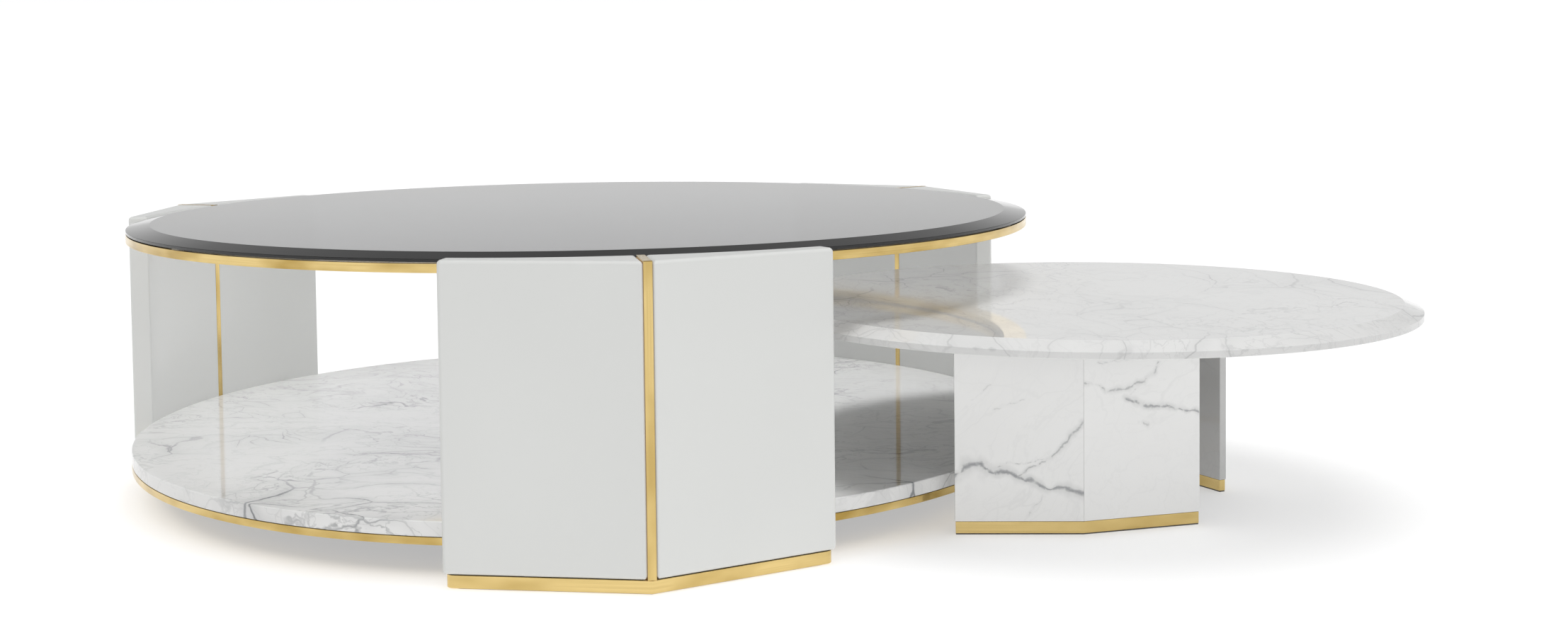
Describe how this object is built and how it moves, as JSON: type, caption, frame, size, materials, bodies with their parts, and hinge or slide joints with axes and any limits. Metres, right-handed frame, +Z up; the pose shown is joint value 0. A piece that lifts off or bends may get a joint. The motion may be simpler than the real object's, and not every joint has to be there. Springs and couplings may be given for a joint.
{
  "type": "nesting tables",
  "caption": "Round glass-topped low table with a marble shelf on folded lacquered legs, and a lower round marble table that tucks in over the shelf.",
  "frame": {"origin": "on the floor, under the middle of the box round both tables", "axes": "+Z up, +X along the longest side towards the small table, +Y from the viewer's side to the back"},
  "size_m": [1.9622, 1.4598, 0.4116],
  "materials": {
    "smoked_glass": "polished, grey smoked, with a wide bevel",
    "polished_brass": "polished, with soft drawn streaks",
    "white_lacquer": "satin white lacquer over board",
    "marble": "polished white marble with grey veins",
    "plywood": "raw birch plywood",
    "zinc_steel": "bright zinc plate",
    "black_steel": "matt black powder coat",
    "clear_silicone": "clear, slightly cloudy",
    "felt": "pressed grey felt"
  },
  "bodies": {
    "large_table": {"glass_top": "smoked_glass", "rim_band": "polished_brass", "shelf_slab": "marble", "shelf_band": "polished_brass", "shelf_deck": "plywood", "glass_pad_1": "clear_silicone", "glass_pad_2": "clear_silicone", "glass_pad_3": "clear_silicone", "glass_pad_4": "clear_silicone", "glass_pad_5": "clear_silicone", "glass_pad_6": "clear_silicone", "front_leg_panel_right": "white_lacquer", "front_leg_rim_screw_right": "zinc_steel", "front_leg_shelf_screw_right": "zinc_steel", "front_leg_panel_left": "white_lacquer", "front_leg_rim_screw_left": "zinc_steel", "front_leg_shelf_screw_left": "zinc_steel", "front_leg_inlay": "polished_brass", "front_leg_spline": "plywood", "front_leg_plinth": "polished_brass", "front_leg_sole": "felt", "rear_leg_panel_right": "white_lacquer", "rear_leg_rim_screw_right": "zinc_steel", "rear_leg_shelf_screw_right": "zinc_steel", "rear_leg_panel_left": "white_lacquer", "rear_leg_rim_screw_left": "zinc_steel", "rear_leg_shelf_screw_left": "zinc_steel", "rear_leg_inlay": "polished_brass", "rear_leg_spline": "plywood", "rear_leg_plinth": "polished_brass", "rear_leg_sole": "felt", "left_leg_panel_right": "white_lacquer", "left_leg_rim_screw_right": "zinc_steel", "left_leg_shelf_screw_right": "zinc_steel", "left_leg_panel_left": "white_lacquer", "left_leg_rim_screw_left": "zinc_steel", "left_leg_shelf_screw_left": "zinc_steel", "left_leg_inlay": "polished_brass", "left_leg_spline": "plywood", "left_leg_plinth": "polished_brass", "left_leg_sole": "felt"},
    "small_table": {"stone_top": "marble", "stone_top_subplate": "black_steel", "near_stone_panel_right": "marble", "near_bracket_right": "black_steel", "near_stone_panel_left": "marble", "near_bracket_left": "black_steel", "near_stone_plinth": "polished_brass", "near_stone_sole": "felt", "far_stone_panel_right": "marble", "far_bracket_right": "black_steel", "far_stone_panel_left": "marble", "far_bracket_left": "black_steel", "far_stone_plinth": "polished_brass", "far_stone_sole": "felt"}
  },
  "joints": [
    {"name": "small_table_slide", "type": "slide", "parent": "large_table", "child": "small_table", "axis": [0.9205, -0.3907, 0], "range_m": [-0.022, 0.45]}
  ]
}
